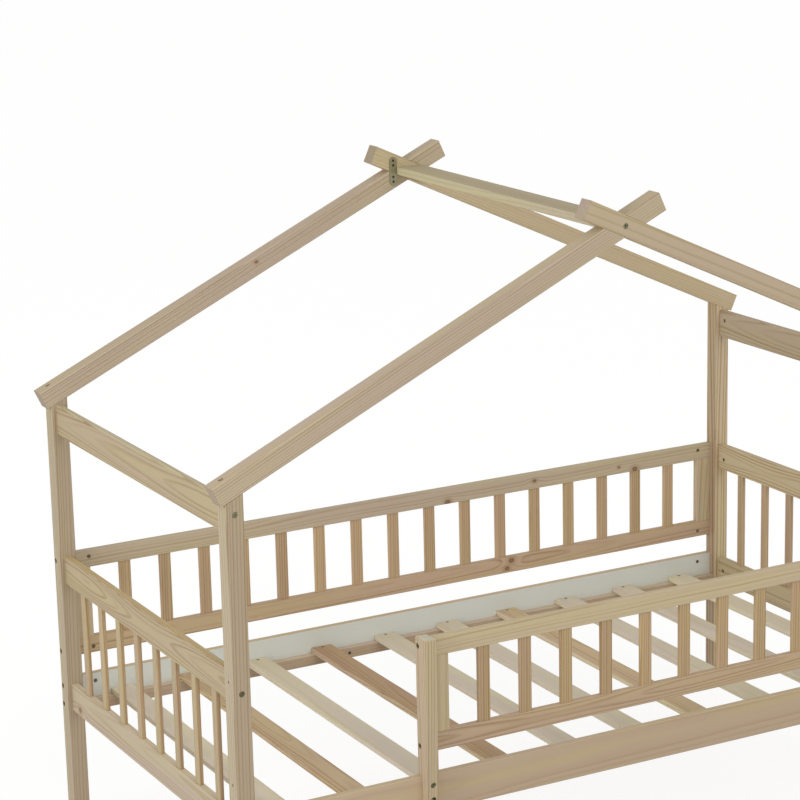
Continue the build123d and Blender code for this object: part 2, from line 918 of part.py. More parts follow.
def bracket_screw_planes(end, side):
    """Screws from below through the corners of a bracket's plate."""
    along = bracket_width / 2 - bracket_screw_inset
    across = bracket_length / 2 - bracket_screw_inset
    places = [
        (castor_board_x(end) + i * along, castor_y(side) + j * across, plate_bottom)
        for i in (-1, 1)
        for j in (-1, 1)
    ]
    return [Plane(origin=place, z_dir=(0, 0, -1)) for place in places]


corners = list(wheel_places.values())
all_bracket_screws = [plane for end, side in corners for plane in bracket_screw_planes(end, side)]

with BuildPart() as castor_boards:
    for end in (LEFT, RIGHT):
        x = castor_board_x(end)
        low = (x - castor_board_width / 2, trundle_front + board, castor_board_bottom)
        high = (x + castor_board_width / 2, trundle_back - board, castor_board_top)
        add(block(low, high, board_rounding, Axis.Y))
    for end, side in corners:
        screw_holes(castor_board_screw_planes(end, side), board)
    pilot_holes([plane.offset(-bracket_thickness) for plane in all_bracket_screws], bracket_screw_length)
keep(castor_boards, "castor_boards")

with BuildPart() as castor_brackets:
    for end, side in corners:
        x, y = castor_board_x(end), castor_y(side)
        with BuildSketch(Plane.XY.offset(plate_bottom)):
            with Locations((x, y)):
                RectangleRounded(bracket_width, bracket_length, bracket_screw_inset / 2)
        extrude(amount=bracket_thickness)
        for outward in (-1, 1):
            start = x + min(outward * cheek_inner, outward * cheek_outer)
            with BuildSketch(Plane.YZ.offset(start)):
                with BuildLine():
                    Polyline(
                        (y - bracket_length / 2 + bracket_screw_inset, castor_board_bottom),
                        (y - fork_foot_radius, wheel_radius),
                        (y + fork_foot_radius, wheel_radius),
                        (y + bracket_length / 2 - bracket_screw_inset, castor_board_bottom),
                        close=True,
                    )
                make_face()
                with Locations((y, wheel_radius)):
                    Circle(fork_foot_radius)
            extrude(amount=bracket_thickness)
        with Locations(Plane(origin=(x + cheek_outer, y, wheel_radius), z_dir=(1, 0, 0))):
            Hole(axle_radius + axle_running_play, 2 * cheek_outer)
    with Locations(*all_bracket_screws):
        Hole(bracket_screw_radius + screw_play, bracket_thickness)
keep(castor_brackets, "castor_brackets")

with BuildPart() as castor_axles:
    for end, side in corners:
        x, y = castor_board_x(end), castor_y(side)
        with BuildSketch(Plane.YZ.offset(x - cheek_outer)):
            with Locations((y, wheel_radius)):
                Circle(axle_radius)
        extrude(amount=2 * cheek_outer)
        for start in (x - cheek_outer - axle_head_height, x + cheek_outer):
            with BuildSketch(Plane.YZ.offset(start)):
                with Locations((y, wheel_radius)):
                    Circle(axle_head_radius)
            extrude(amount=axle_head_height)
keep(castor_axles, "castor_axles")

for name, (end, side) in wheel_places.items():
    x, y = castor_board_x(end), castor_y(side)
    with BuildPart() as wheel:
        with BuildSketch(Plane.YZ.offset(x - wheel_width / 2)):
            with Locations((y, wheel_radius)):
                Circle(wheel_radius)
        extrude(amount=wheel_width)
        fillet(wheel.edges().filter_by(GeomType.CIRCLE), wheel_rounding)
        for start in (x - wheel_width / 2, x + wheel_width / 2 - hub_recess):
            with BuildSketch(Plane.YZ.offset(start)):
                with Locations((y, wheel_radius)):
                    Circle(wheel_radius - rim_thickness)
                    Circle(hub_radius, mode=Mode.SUBTRACT)
            extrude(amount=hub_recess, mode=Mode.SUBTRACT)
        with Locations(Plane(origin=(x + wheel_width / 2, y, wheel_radius), z_dir=(1, 0, 0))):
            Hole(axle_radius + axle_running_play, wheel_width)
    keep(wheel, name)

with BuildPart() as trundle_screws:
    for side in (FRONT, BACK):
        screws_in(panel_screw_planes(side), board + screw_length)
        screws_in(trundle_batten_screw_planes(side), screw_length)
        screws_in([trundle_slat_screw_plane(x, side) for x in trundle_slat_places], deck_screw_length)
        for end in (LEFT, RIGHT):
            screws_in(castor_board_screw_planes(end, side), deck_screw_length)
    with Locations(*all_bracket_screws):
        Cylinder(
            bracket_screw_head_radius,
            bracket_screw_head_height,
            align=(Align.CENTER, Align.CENTER, Align.MIN),
        )
    with Locations(*all_bracket_screws):
        Cylinder(
            bracket_screw_radius,
            bracket_screw_length,
            align=(Align.CENTER, Align.CENTER, Align.MAX),
        )
keep(trundle_screws, "trundle_screws")
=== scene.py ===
from math import cos, radians, sin

import bmesh
import bpy
from mathutils import Matrix, Vector


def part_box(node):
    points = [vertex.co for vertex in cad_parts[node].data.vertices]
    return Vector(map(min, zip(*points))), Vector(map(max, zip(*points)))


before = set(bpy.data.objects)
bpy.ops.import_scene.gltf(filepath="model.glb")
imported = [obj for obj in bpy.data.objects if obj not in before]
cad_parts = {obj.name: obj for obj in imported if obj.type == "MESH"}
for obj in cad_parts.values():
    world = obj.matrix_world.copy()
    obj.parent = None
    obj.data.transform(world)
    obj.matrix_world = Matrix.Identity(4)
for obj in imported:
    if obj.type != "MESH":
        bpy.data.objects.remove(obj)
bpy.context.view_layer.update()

# The looks of a pine house bed with a trundle: raw wood, zinc, plastic, floor, light and camera.
# Lengths are in metres, angles in degrees and colours in sRGB. A scale counts features per metre,
# for wood along the grain, across the board and through it.

MM = 0.001
X, Y, Z = Vector((1, 0, 0)), Vector((0, 1, 0)), Vector((0, 0, 1))

# Camera, fitted to the photograph's edges
CAMERA_PLACE = Vector((-3.1238, -4.6496, 2.6153))
CAMERA_AZIMUTH = 28.10
CAMERA_PITCH = 13.95
CAMERA_ROLL = -1.37
CAMERA_LENS = 116.45
SENSOR_WIDTH = 36.0

# Light
SKY_LIGHT = 0.62
FRONT_TOWARDS = Vector((0.10, -0.84, 0.53))
FRONT_STRENGTH = 0.80
FRONT_ANGLE = 40
SIDE_PLACE = Vector((-8.0, -1.0, 2.6))
SIDE_SIZE = 3.5
SIDE_POWER = 240.0

# Floor
FLOOR_SIZE = 80.0
FLOOR_COLOUR = (0.90, 0.90, 0.89)
FLOOR_ROUGHNESS = 0.9
FLOOR_WHITE_SHARE = 0.72
FLOOR_WHITE = 1.11

# Boards
ROOF_PITCH = 24.8
NO_PITCH = 50.0
BALUSTER_WIDTH = 25 * MM
GUARD_SLAT_WIDTH = 31 * MM
STILE_WIDTH = 45 * MM
TRUNDLE_BATTEN_WIDTH = 20 * MM
CASTOR_BOARD_WIDTH = 60 * MM
TRUNDLE_SLAT_WIDTH = 58 * MM
BED_SLAT_TONES = ("chalk", "honey", "chalk", "umber", "chalk",
                  "chalk", "honey", "chalk", "chalk", "chalk")
# The bed slats whose sides get painted light
SLATS_WITH_PAINTED_LIGHT_SIDES = (4, 7)
BED_SLAT_SEED = 130
BED_SLAT_SEED_STEP = 5

# The early wood of each kind of board
TONES = {
    "straw": "c2b090",
    "blond": "d1be9c",
    "cream": "cbb99b",
    "buff": "b7a890",
    "barley": "b2a086",
    "oat": "b5a489",
    "wheat": "c2b092",
    "sand": "c2a98b",
    "tan": "c5aa88",
    "rose": "d1bb9d",
    "chalk": "e2d6bf",
    "honey": "d0b895",
    "umber": "ba9c7d",
    "moss": "b3a585",
    "olive": "b6a586",
    "dune": "c2b198",
    "peach": "cab195",
    "fawn": "b9a18b",
}
# What late wood takes from that colour
LATE_WOOD = (0.66, 0.57, 0.47)
GOLDEN_LATE = (0.78, 0.75, 0.60)
OLIVE_LATE = (0.64, 0.58, 0.42)
# What yellowish and pinkish streaks take from it
YELLOW_STREAK = (0.95, 0.98, 0.90)
PINK_STREAK = (0.93, 0.92, 0.97)
# What the faces across a board take from it, where they differ from its broad faces. These are
# painted light and shade by which way a face looks: lighter tops and sides where light falls, a
# darker back-right post face in painted shade, and baluster fronts darker and redder from painted
# shade together with redder grain
AS_FACE = (1.0, 1.0, 1.0)
PAINTED_SHADE_REDDER_EDGE = (1.02, 0.88, 0.80)
PAINTED_LIGHT_EDGE = (1.16, 1.30, 1.45)
WARM_PAINTED_LIGHT_EDGE = (1.27, 1.22, 0.99)
BATTEN_TOP_PAINTED_LIGHT = (1.40, 1.55, 1.65)
RIDGE_EDGE_PAINTED_LIGHT = (1.18, 1.23, 1.32)
TIE_EDGE_PAINTED_LIGHT = (1.27, 1.38, 1.42)
POST_EDGE_PAINTED_SHADE = (0.79, 0.74, 0.77)
OAT_EDGE_PAINTED_LIGHT = (1.00, 1.05, 1.08)
RAIL_TOP_PAINTED_LIGHT = (1.38, 1.38, 1.38)
# What a board's ends take from it
DULL_END = (0.73, 0.71, 0.76)
PINK_END = (0.86, 0.84, 0.94)
PALE_END = (1.20, 1.35, 1.55)
# The painted inner face of a side rail
INNER_PAINT = "d6dbd5"
INNER_PAINT_SHARE = 0.88
INNER_FACING = (0.8, 0.95)

# How a board is sawn: where the tree's middle lies across and through from the board's middle, how
# wide a growth ring is, how far the rings wander and how strongly they show
STRAIGHT = {"Pith": (0.0, 0.070, 0.060), "Ring": 5.2 * MM, "Wander": 0.014, "Contrast": 0.85}
SLAT = {"Pith": (0.0, 0.090, 0.020), "Ring": 6.4 * MM, "Wander": 0.012, "Contrast": 1.15}
SPARSE = {"Pith": (0.0, 0.060, 0.050), "Ring": 16.0 * MM, "Wander": 0.012, "Contrast": 0.50}
WAVY = {"Pith": (0.0, 0.055, 0.030), "Ring": 6.5 * MM, "Wander": 0.024, "Contrast": 1.10}
LINED = {"Pith": (0.0, 0.070, 0.060), "Ring": 7.5 * MM, "Wander": 0.014, "Contrast": 1.60}
FLAT = {"Pith": (0.0, 0.012, 0.032), "Ring": 5.6 * MM, "Wander": 0.040, "Contrast": 0.90}
FLAME = {"Pith": (0.0, 0.004, 0.034), "Ring": 3.8 * MM, "Wander": 0.050, "Contrast": 1.30}
CALM = {"Pith": (0.0, 0.030, 0.050), "Ring": 6.5 * MM, "Wander": 0.030, "Contrast": 0.60}
PLAIN = {"Pith": (0.0, 0.010, 0.090), "Ring": 9.0 * MM, "Wander": 0.030, "Contrast": 0.40}

# How boards of one node differ: in the random seed, in the place along the tree and in shade
SEED_STEP = 1.71
BOARD_SHIFT = 9.0
BOARD_SHADE_LEAST = 0.94
BOARD_SHADE_LUCK = 0.12

# Growth rings. The pith wanders, tapers along the tree and lies elsewhere in each board.
PITH_SCALE = (1.3, 2.0, 2.0)
PITH_LUCK = 12 * MM
TAPER = 0.010
UNEVEN_SCALE = 70.0
UNEVEN_RINGS = 1.6
RAGGED_SCALE = (14, 260, 260)
RAGGED_RINGS = 0.18
# A face that runs along a ring shows it wide and pale, one that crosses it narrow and dark
CROSSING_FULL = 0.5
SHOWN_LEAST = 0.40
# Where late wood starts in a ring, is darkest and ends, and how dark it gets
LATE_FROM = 0.38
LATE_DARKEST = 0.86
LATE_ENDS = 0.91
LATE_LEAST = 0.45
LATE_LUCK = 0.60

# Fine figure between the rings
FIBRE_SCALE = (7, 420, 420)
FIBRE_DARK = 0.20
STREAK_SCALE = (1.4, 60, 60)
STREAK_DARK = 0.50
CANAL_SCALE = (45, 900, 900)
CANAL_RANGE = (0.70, 0.78)
CANAL_DARK = 0.22
CLOUD_SCALE = (1.5, 24, 24)
CLOUD_RANGE = (0.36, 0.64)
DARK_RANGE = (-0.05, 1.0)

# Which faces count as a board's edges and ends, by how squarely they look that way
EDGE_FACING = (0.6, 0.8)
END_FACING = (0.7, 0.92)
END_COLOUR = "b1a48c"
END_SHARE = 0.45

# Knots. Distances are in the knot's own radii.
KNOTS = ("Knot 1", "Knot 2", "Knot 3", "Knot 4")
NO_KNOT = 100.0
LEAST_RADIUS = 0.01 * MM
KNOT_WOBBLE_SCALE = (60, 60, 60)
KNOT_WOBBLE = 4 * MM
KNOT_SQUEEZE = 0.8
BULGE_SQUEEZE = 0.4
BULGE_FALL = -0.16
BULGE_HEIGHT = 1.2
KNOT_RIM = (1.25, 0.85)
KNOT_COLOUR = "64462f"
HEART_REACH = (0.2, 1.0)
HEART_SHARE = (0.50, 0.85)
KNOT_RINGS = 14.0
KNOT_RINGS_SHARE = 0.12
HALO_REACH = (3.4, 1.0)
HALO_COLOUR = "9c7a57"
HALO_SHARE = 0.45

# The wood's surface
WOOD_ROUGHNESS = 0.58
FIBRE_ROUGHNESS = 0.16
END_ROUGHNESS = 0.12
WOOD_SPECULAR = 0.22
FIBRE_HEIGHT = 0.6
LATE_HEIGHT = 0.5
CANAL_HEIGHT = -0.4
WOOD_BUMP = 0.35
WOOD_RELIEF = 0.4 * MM

# Metal
METAL_MOTTLE_SCALE = (900, 900, 900)
METAL_MOTTLE_RANGE = (0.35, 0.65)
METAL_STAIN_AND_GLINT_SCALE = (260, 260, 260)
METAL_STAIN_AND_GLINT_RANGE = (0.55, 0.75)
METAL_GLOSS_RANGE = (0.2, 0.8)
METAL_GLOSS_SPREAD = 0.18
METAL_BUMP = 0.15
METAL_RELIEF = 0.1 * MM

# Castor wheels
TREAD_FROM = 0.78
TREAD_BLEND = 0.3 * MM
HUB_COLOURS = ("8d8d8f", "7b7c7f")
TREAD_COLOURS = ("3b3b3d", "4a4a4b")
WHEEL_GRIT_SCALE = (1500, 1500, 1500)
WHEEL_GRIT_RANGE = (0.2, 0.8)
WHEEL_CLOUD_SCALE = (90, 90, 90)
WHEEL_ROUGHNESS = (0.38, 0.55)
TREAD_ROUGHNESS = 0.2
WHEEL_BUMP = 0.3
WHEEL_RELIEF = 0.1 * MM


# The sRGB curve: straight below its knee, a power above it
SRGB_KNEE = 0.04045
SRGB_SLOPE = 12.92
SRGB_OFFSET = 0.055
SRGB_POWER = 2.4


def linear_part(part):
    if part <= SRGB_KNEE:
        return part / SRGB_SLOPE
    return ((part + SRGB_OFFSET) / (1 + SRGB_OFFSET)) ** SRGB_POWER


def srgb(code):
    """The linear colour of a six-digit sRGB code."""
    return (*(linear_part(int(code[i:i + 2], 16) / 255) for i in (0, 2, 4)), 1)


class Graph:
    """A node tree with short calls for the nodes that the finishes use."""

    def __init__(self, tree):
        self.tree = tree

    def feed(self, socket, value):
        if isinstance(value, bpy.types.NodeSocket):
            self.tree.links.new(value, socket)
        else:
            socket.default_value = value

    def node(self, kind, inputs=None, **settings):
        node = self.tree.nodes.new("ShaderNode" + kind)
        for name, value in settings.items():
            setattr(node, name, value)
        for name, value in (inputs or {}).items():
            self.feed(node.inputs[name], value)
        return node

    def math(self, operation, *values):
        node = self.node("Math", operation=operation)
        for socket, value in zip(node.inputs, values):
            self.feed(socket, value)
        return node.outputs[0]

    def sum(self, value, *others):
        """The value and a share of each other value, given in pairs of a value and its share."""
        for other, share in others:
            value = self.math("ADD", value, self.math("MULTIPLY", other, share))
        return value

    def centred(self, value):
        """A value from 0 to 1 as one from -0.5 to 0.5."""
        return self.math("SUBTRACT", value, 0.5)

    def vector_math(self, operation, *values):
        node = self.node("VectorMath", operation=operation)
        for socket, value in zip(node.inputs, values):
            self.feed(socket, value)
        return node.outputs["Value" if operation in ("DOT_PRODUCT", "LENGTH") else "Vector"]

    def joined(self, x, y, z):
        return self.node("CombineXYZ", {"X": x, "Y": y, "Z": z}).outputs[0]

    def parts(self, vector):
        return self.node("SeparateXYZ", {"Vector": vector}).outputs[:3]

    def noise(self, place, scale=(1, 1, 1), detail=2.0):
        """Soft noise from 0 to 1 at a place that is stretched by a scale."""
        stretched = self.vector_math("MULTIPLY", place, scale)
        inputs = {"Vector": stretched, "Scale": 1.0, "Detail": detail}
        return self.node("TexNoise", inputs).outputs["Fac"]

    def chance(self, value):
        """A random value and colour for each value."""
        return self.node("TexWhiteNoise", {"W": value}, noise_dimensions="1D").outputs

    def step(self, value, reach, result=(0.0, 1.0)):
        """A soft step from the first result to the second, where the value crosses a reach."""
        node = self.node("MapRange", interpolation_type="SMOOTHSTEP")
        for socket, given in zip(node.inputs, (value, *reach, *result)):
            self.feed(socket, given)
        return node.outputs[0]

    def mix(self, share, a, b, blend="MIX"):
        """Two colours mixed. Inputs 6 and 7 and output 2 are the Mix node's colour sockets."""
        node = self.node("Mix", data_type="RGBA", blend_type=blend)
        for index, given in ((0, share), (6, a), (7, b)):
            self.feed(node.inputs[index], given)
        return node.outputs[2]

    def tinted(self, colour, tint):
        return self.mix(1.0, colour, tint, "MULTIPLY")


PINE_INPUTS = (
    ("Centre", "Vector"), ("Turn", "Vector"), ("Grain", "Vector"), ("Across", "Vector"),
    ("Pith", "Vector"), ("Pitch", "Float"), ("Seed", "Float"), ("Ring", "Float"),
    ("Wander", "Float"), ("Contrast", "Float"), ("Tone", "Color"), ("Late", "Color"),
    ("Edge Light And Shade", "Color"), ("End", "Color"),
    *((name, "Vector") for name in KNOTS),
)


def board_place(g, given, coordinates):
    """Board axes: x along the grain, y across, z through. A node of many boards repeats along y."""
    place = g.node("Mapping", {"Vector": coordinates.outputs["Object"],
                               "Location": given["Centre"],
                               "Rotation": given["Turn"]}, vector_type="TEXTURE")
    x, y, z = g.parts(place.outputs[0])
    index = g.math("FLOOR", g.math("ADD", g.math("DIVIDE", y, given["Pitch"]), 0.5))
    y = g.math("SUBTRACT", y, g.math("MULTIPLY", index, given["Pitch"]))
    chance = g.chance(g.sum(given["Seed"], (index, SEED_STEP)))
    return x, y, z, chance


def knot_field(g, given, x, y, grain):
    """How far a point is from the nearest knot, and how far the rings bulge there."""
    x = g.sum(x, (g.noise(grain, KNOT_WOBBLE_SCALE), KNOT_WOBBLE))
    nearest, bulge = NO_KNOT, 0.0
    for name in KNOTS:
        knot_x, knot_y, radius = g.parts(given[name])
        some = g.math("MAXIMUM", radius, LEAST_RADIUS)
        along = g.math("DIVIDE", g.math("SUBTRACT", x, knot_x), some)
        across = g.math("DIVIDE", g.math("SUBTRACT", y, knot_y), some)
        far, wide = (
            g.vector_math("LENGTH", g.joined(g.math("MULTIPLY", along, squeeze), across, 0.0))
            for squeeze in (KNOT_SQUEEZE, BULGE_SQUEEZE))
        nearest = g.math("MINIMUM", nearest, far)
        falling = g.math("MULTIPLY", g.math("MULTIPLY", wide, wide), BULGE_FALL)
        height = g.math("MULTIPLY", radius, BULGE_HEIGHT)
        bulge = g.sum(bulge, (g.math("EXPONENT", falling), height))
    return nearest, bulge


def late_wood(g, given, x, y, z, grain, chance, bulge, edge):
    """The dark part of the growth rings."""
    stretched = g.vector_math("MULTIPLY", grain, PITH_SCALE)
    wander = g.node("TexNoise", {"Vector": stretched, "Scale": 1.0, "Detail": 1.0})
    wanders = g.parts(wander.outputs["Color"])[1:]
    lucks = g.parts(chance["Color"])[1:]
    piths = g.parts(given["Pith"])[1:]
    away = []
    for value, off, luck, pith in zip((y, z), wanders, lucks, piths):
        moved = g.sum(value, (g.centred(off), given["Wander"]), (g.centred(luck), PITH_LUCK))
        away.append(g.math("SUBTRACT", moved, pith))
    radius = g.vector_math("LENGTH", g.joined(0.0, *away))
    steep, steep_edge = (g.math("ABSOLUTE", g.math("DIVIDE", part, radius)) for part in away)
    crossing = g.sum(steep, (edge, g.math("SUBTRACT", steep_edge, steep)))
    shown = g.step(crossing, (0.0, CROSSING_FULL), (SHOWN_LEAST, 1.0))
    radius = g.math("ADD", g.sum(radius, (x, TAPER)), bulge)
    uneven = g.joined(g.math("MULTIPLY", radius, UNEVEN_SCALE), given["Seed"], 0.0)
    rings = g.sum(g.math("DIVIDE", radius, given["Ring"]),
                  (g.noise(uneven, detail=1.0), UNEVEN_RINGS),
                  (g.noise(grain, RAGGED_SCALE), RAGGED_RINGS))
    part = g.math("FRACT", rings)
    darkening = g.step(part, (LATE_FROM, LATE_DARKEST))
    late = g.math("MULTIPLY", darkening, g.step(part, (1.0, LATE_ENDS)))
    luck = g.chance(g.math("FLOOR", rings))["Value"]
    return g.math("MULTIPLY", g.math("MULTIPLY", late, shown), g.sum(LATE_LEAST, (luck, LATE_LUCK)))


def add_knots(g, colour, knot_far):
    """A knot has a dark rim, a red-brown heart and a halo of warmer wood."""
    rings = g.math("SINE", g.math("MULTIPLY", knot_far, KNOT_RINGS))
    heart = g.sum(g.step(knot_far, HEART_REACH, HEART_SHARE), (rings, KNOT_RINGS_SHARE))
    halo = g.math("MULTIPLY", g.step(knot_far, HALO_REACH), HALO_SHARE)
    colour = g.mix(halo, colour, srgb(HALO_COLOUR))
    return g.mix(g.math("MULTIPLY", g.step(knot_far, KNOT_RIM), heart), colour, srgb(KNOT_COLOUR))


def make_pine():
    """The figure of pine boards: growth rings, fibres, soft streaks, knots and end grain, with
    painted light and shade on the faces across a board.
    """
    tree = bpy.data.node_groups.new("pine_figure", "ShaderNodeTree")
    for name, kind in PINE_INPUTS:
        tree.interface.new_socket(name=name, in_out="INPUT", socket_type="NodeSocket" + kind)
    for name, kind in (("Color", "Color"), ("Roughness", "Float"), ("Normal", "Vector")):
        tree.interface.new_socket(name=name, in_out="OUTPUT", socket_type="NodeSocket" + kind)
    g = Graph(tree)
    given = tree.nodes.new("NodeGroupInput").outputs
    coordinates = g.node("TexCoord")
    normal = coordinates.outputs["Normal"]
    x, y, z, chance = board_place(g, given, coordinates)
    shifted = g.sum(x, (g.parts(chance["Color"])[0], BOARD_SHIFT))
    grain = g.joined(shifted, y, z)
    knot_far, bulge = knot_field(g, given, x, y, grain)
    across = g.math("ABSOLUTE", g.vector_math("DOT_PRODUCT", normal, given["Across"]))
    edge = g.step(across, EDGE_FACING)
    along = g.math("ABSOLUTE", g.vector_math("DOT_PRODUCT", normal, given["Grain"]))
    end = g.step(along, END_FACING)
    late = late_wood(g, given, shifted, y, z, grain, chance, bulge, edge)

    fibre = g.noise(grain, FIBRE_SCALE, detail=3.0)
    streak = g.noise(grain, STREAK_SCALE, detail=3.0)
    canal = g.step(g.noise(grain, CANAL_SCALE, detail=1.0), CANAL_RANGE)
    amount = g.sum(g.math("MULTIPLY", late, given["Contrast"]), (g.centred(fibre), FIBRE_DARK),
                   (g.centred(streak), STREAK_DARK), (canal, CANAL_DARK))
    cloud = g.step(g.noise(grain, CLOUD_SCALE), CLOUD_RANGE)
    early = g.tinted(given["Tone"], g.mix(cloud, (*YELLOW_STREAK, 1), (*PINK_STREAK, 1)))
    colour = g.mix(g.step(amount, DARK_RANGE), early, g.tinted(given["Tone"], given["Late"]))
    shade = g.sum(BOARD_SHADE_LEAST, (chance["Value"], BOARD_SHADE_LUCK))
    colour = g.tinted(colour, g.joined(shade, shade, shade))
    # Painted light and shade: faces across the board take its edge tint, lighter where light falls
    # and darker in shade
    colour = g.mix(edge, colour, g.tinted(colour, given["Edge Light And Shade"]))
    colour = add_knots(g, colour, knot_far)
    # End grain is greyer and duller
    colour = g.mix(g.math("MULTIPLY", end, END_SHARE), colour, srgb(END_COLOUR))
    colour = g.mix(end, colour, g.tinted(colour, given["End"]))

    rough = g.sum(WOOD_ROUGHNESS, (fibre, FIBRE_ROUGHNESS), (end, END_ROUGHNESS))
    height = g.sum(0.0, (fibre, FIBRE_HEIGHT), (late, LATE_HEIGHT), (canal, CANAL_HEIGHT))
    bump = g.node("Bump", {"Height": height, "Strength": WOOD_BUMP, "Distance": WOOD_RELIEF})
    result = tree.nodes.new("NodeGroupOutput").inputs
    g.feed(result["Color"], colour)
    g.feed(result["Roughness"], rough)
    g.feed(result["Normal"], bump.outputs[0])
    return tree


PINE = make_pine()


def new_material(name):
    """A material with only its Principled shader, and the graph to build on."""
    material = bpy.data.materials.new(name)
    material.use_nodes = True
    return material, Graph(material.node_tree), material.node_tree.nodes["Principled BSDF"]


def dress(name, material):
    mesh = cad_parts[name].data
    mesh.materials.clear()
    mesh.materials.append(material)


def board(name, grain, across, tone, seed, cut, knots=(), count=1, width=0.0, inner=None,
          edge=AS_FACE, end=AS_FACE, late=LATE_WOOD):
    """Pine on one node, which holds a count of boards of one width, or a single board.

    A knot is its place along and across from the board's middle, and its radius. A board with an
    inner direction is painted on the face that looks that way.
    """
    low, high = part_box(name)
    centre = (low + high) / 2
    size = high - low
    pitch = NO_PITCH
    if count > 1:
        run = abs(size.dot(across))
        pitch = (run - width) / (count - 1)
        centre -= across * (run - width) / 2
    turn = Matrix((grain, across, grain.cross(across))).transposed().to_euler("XYZ")
    material, g, shader = new_material(name)
    pine = g.node("Group", node_tree=PINE)
    settings = {"Centre": centre, "Turn": turn, "Grain": grain, "Across": across, "Pitch": pitch,
                "Seed": float(seed), "Tone": srgb(TONES[tone]), "Late": (*late, 1),
                "Edge Light And Shade": (*edge, 1), "End": (*end, 1), **cut, **dict(zip(KNOTS, knots))}
    for key, value in settings.items():
        pine.inputs[key].default_value = value
    colour = pine.outputs["Color"]
    if inner:
        normal = g.node("TexCoord").outputs["Normal"]
        facing = g.step(g.vector_math("DOT_PRODUCT", normal, inner), INNER_FACING)
        colour = g.mix(g.math("MULTIPLY", facing, INNER_PAINT_SHARE), colour, srgb(INNER_PAINT))
    g.feed(shader.inputs["Base Color"], colour)
    g.feed(shader.inputs["Roughness"], pine.outputs["Roughness"])
    g.feed(shader.inputs["Normal"], pine.outputs["Normal"])
    shader.inputs["Specular IOR Level"].default_value = WOOD_SPECULAR
    dress(name, material)


def make_posts():
    board("post_front_left", Z, X, "oat", 3, STRAIGHT, edge=OAT_EDGE_PAINTED_LIGHT)
    board("post_front_right", Z, X, "buff", 8, STRAIGHT)
    board("post_back_left", Z, X, "oat", 14, STRAIGHT, edge=OAT_EDGE_PAINTED_LIGHT)
    board("post_back_right", Z, X, "blond", 21, LINED, edge=POST_EDGE_PAINTED_SHADE)
    board("front_guard_post", Z, X, "cream", 27, STRAIGHT, end=PALE_END)


def rafter_axes(sign):
    """Along a rafter and up across it, with sign 1 where it rises to the right and else -1."""
    rise = radians(ROOF_PITCH)
    return Vector((cos(rise), 0, sign * sin(rise))), Vector((-sign * sin(rise), 0, cos(rise)))


def make_roof():
    rising, falling = rafter_axes(1), rafter_axes(-1)
    knots = ((0.030, 0.010, 0.0035),)
    board("rafter_front_left", *rising, "dune", 32, STRAIGHT, end=DULL_END)
    board("rafter_back_left", *rising, "dune", 39, STRAIGHT, knots, end=DULL_END)
    board("rafter_front_right", *falling, "wheat", 30, SPARSE, end=PINK_END)
    board("rafter_back_right", *falling, "straw", 37, WAVY, end=DULL_END, late=GOLDEN_LATE)
    board("ridge_board", Y, X, "moss", 45, CALM, edge=RIDGE_EDGE_PAINTED_LIGHT)
    board("roof_tie_left", Y, Z, "olive", 52, FLAT, edge=TIE_EDGE_PAINTED_LIGHT)
    board("roof_tie_right", Y, Z, "barley", 58, FLAT)


def make_ends():
    """Head end and foot end."""
    knots = ((0.436, -0.018, 0.006),)
    balusters = {"count": 8, "width": BALUSTER_WIDTH}
    board("head_top_rail", Y, Z, "olive", 61, FLAME, edge=WARM_PAINTED_LIGHT_EDGE)
    board("head_lower_rail", Y, Z, "buff", 65, FLAT, knots, edge=RAIL_TOP_PAINTED_LIGHT)
    board("head_balusters", Z, Y, "olive", 68, STRAIGHT, edge=PAINTED_SHADE_REDDER_EDGE, **balusters)
    board("foot_top_rail", Y, Z, "cream", 72, FLAME)
    board("foot_lower_rail", Y, Z, "straw", 76, FLAT)
    board("foot_balusters", Z, Y, "sand", 79, STRAIGHT, **balusters)


def make_guards():
    top_knots = ((0.110, -0.017, 0.006), (0.381, 0.0, 0.004),
                 (0.653, -0.003, 0.003), (0.706, -0.016, 0.006))
    lower_knots = ((0.291, -0.009, 0.005), (0.305, 0.011, 0.006))
    slats = {"width": GUARD_SLAT_WIDTH, "late": OLIVE_LATE}
    stiles = {"count": 2, "width": STILE_WIDTH}
    board("back_guard_top_rail", X, Z, "dune", 81, CALM, top_knots)
    board("back_guard_lower_rail", X, Z, "sand", 84, FLAT, lower_knots)
    board("back_guard_slats", Z, X, "tan", 87, SLAT, count=16, **slats)
    board("back_guard_stiles", Z, X, "cream", 90, CALM, **stiles)
    board("front_guard_top_rail", X, Z, "cream", 93, CALM)
    board("front_guard_lower_rail", X, Z, "peach", 96, FLAT)
    board("front_guard_slats", Z, X, "tan", 99, SLAT, count=12, **slats)
    board("front_guard_stiles", Z, X, "cream", 102, SPARSE, **stiles)


def make_deck():
    """Side rails, battens and the slats between them."""
    board("side_rail_front", X, Z, "rose", 111, PLAIN, inner=Y)
    board("side_rail_back", X, Z, "rose", 117, PLAIN, inner=-Y)
    board("slat_batten_front", X, Z, "fawn", 123, CALM, edge=BATTEN_TOP_PAINTED_LIGHT)
    board("slat_batten_back", X, Z, "fawn", 126, CALM, edge=BATTEN_TOP_PAINTED_LIGHT)
    for index, tone in enumerate(BED_SLAT_TONES, start=1):
        board(f"bed_slat_{index:02d}", Y, X, tone, BED_SLAT_SEED + BED_SLAT_SEED_STEP * index,
              PLAIN if tone == "chalk" else FLAT,
              edge=PAINTED_LIGHT_EDGE if index in SLATS_WITH_PAINTED_LIGHT_SIDES else AS_FACE)


